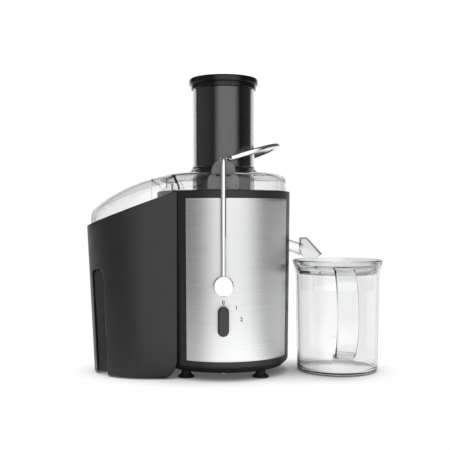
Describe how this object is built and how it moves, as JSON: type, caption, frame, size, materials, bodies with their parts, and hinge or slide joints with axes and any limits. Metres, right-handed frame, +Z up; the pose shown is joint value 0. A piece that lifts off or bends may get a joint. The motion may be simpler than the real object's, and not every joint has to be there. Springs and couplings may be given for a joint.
{
  "type": "centrifugal juicer",
  "caption": "Countertop centrifugal juicer with wide feed chute, locking arm, pulp container and clear juice jug.",
  "frame": {"origin": "middle of the footprint at the feet's underside, on the table", "axes": "+Z up, -Y towards the user (panel, knob and jug handle), +X towards the jug; the motor's axis is vertical at x = -15.2 mm, y = 0.7 mm"},
  "size_m": [0.3904, 0.195, 0.3835],
  "materials": {
    "black_plastic": "fine satin texture",
    "container_plastic": "satin, smoked black",
    "gloss_black": "polished",
    "knob_plastic": "satin",
    "brushed_steel": "fine horizontal brushing",
    "plain_steel": "turned or pressed, plain",
    "chrome": "mirror plating",
    "rubber": "matt",
    "clear_plastic": "clear polycarbonate",
    "clear_jug": "clear styrene",
    "frosted_plastic": "translucent grey",
    "white_plastic": "plain",
    "motor_iron": "stacked laminations",
    "copper_wire": "enamelled copper",
    "brass": "plain"
  },
  "bodies": {
    "base": {"housing": "black_plastic", "front_panel": "brushed_steel", "base_plate": "black_plastic", "cable_gland": "rubber", "motor_stator": "motor_iron", "field_coil_left": "copper_wire", "field_coil_right": "copper_wire", "motor_bracket_top": "plain_steel", "motor_bracket_bottom": "plain_steel", "bearing_top": "plain_steel", "bearing_bottom": "plain_steel", "brush_holder_front": "brass", "brush_holder_rear": "brass", "shaft_seal": "rubber", "juice_collector": "clear_plastic", "spout_tube": "clear_plastic", "spout_nozzle": "clear_plastic", "lid": "clear_plastic", "feed_chute": "clear_plastic", "lid_lug_front": "frosted_plastic", "lid_lug_rear": "frosted_plastic", "rotary_switch": "black_plastic", "safety_switch": "black_plastic", "lid_hood": "clear_plastic", "foot_front_left": "rubber", "foot_front_right": "rubber", "foot_rear_left": "rubber", "foot_rear_right": "rubber", "motor_damper_front_left": "rubber", "motor_damper_front_right": "rubber", "motor_damper_rear_left": "rubber", "motor_damper_rear_right": "rubber", "base_screw_1": "plain_steel", "base_screw_2": "plain_steel", "base_screw_3": "plain_steel", "base_screw_4": "plain_steel"},
    "pusher": {"pusher": "gloss_black", "pusher_cap": "gloss_black"},
    "arm": {"locking_arm": "chrome", "arm_hub_front": "chrome", "arm_hub_rear": "chrome", "arm_pivot_pin_front": "plain_steel", "arm_pivot_pin_rear": "plain_steel"},
    "knob": {"selector_knob": "knob_plastic"},
    "rotor": {"motor_shaft": "plain_steel", "armature": "motor_iron", "winding_head_top": "copper_wire", "winding_head_bottom": "copper_wire", "commutator": "copper_wire", "cooling_fan": "white_plastic", "drive_coupling": "black_plastic", "basket_base": "white_plastic", "sieve_basket": "plain_steel", "grating_disc": "plain_steel"},
    "container": {"pulp_container": "container_plastic"},
    "cover": {"pulp_cover": "clear_plastic"},
    "jug": {"jug": "clear_jug", "jug_handle": "clear_jug"},
    "jug_lid": {"jug_lid": "clear_jug", "foam_separator": "clear_jug"}
  },
  "joints": [
    {"name": "pusher_lift", "type": "slide", "parent": "base", "child": "pusher", "axis": [0, 0, 1], "range_m": [0, 0.19]},
    {"name": "arm_swing", "type": "hinge", "parent": "base", "child": "arm", "pos_m": [-0.01515, 0.00074, 0.118], "axis": [0, 1, 0], "range_deg": [0, 50]},
    {"name": "selector_turn", "type": "hinge", "parent": "base", "child": "knob", "pos_m": [-0.01515, 0.00074, 0.075], "axis": [0, 1, 0], "range_deg": [0, 90]},
    {"name": "basket_spin", "type": "hinge", "parent": "base", "child": "rotor", "pos_m": [-0.01515, 0.00074, 0], "axis": [0, 0, 1], "continuous": true},
    {"name": "container_slide", "type": "slide", "parent": "base", "child": "container", "axis": [-1, 0, 0], "range_m": [0, 0.12]},
    {"name": "cover_lift", "type": "slide", "parent": "container", "child": "cover", "axis": [0, 0, 1], "range_m": [0, 0.08]},
    {"name": "jug_slide", "type": "slide", "parent": "base", "child": "jug", "axis": [1, 0, 0], "range_m": [0, 0.12]},
    {"name": "jug_lid_lift", "type": "slide", "parent": "jug", "child": "jug_lid", "axis": [0, 0, 1], "range_m": [0, 0.06]}
  ]
}
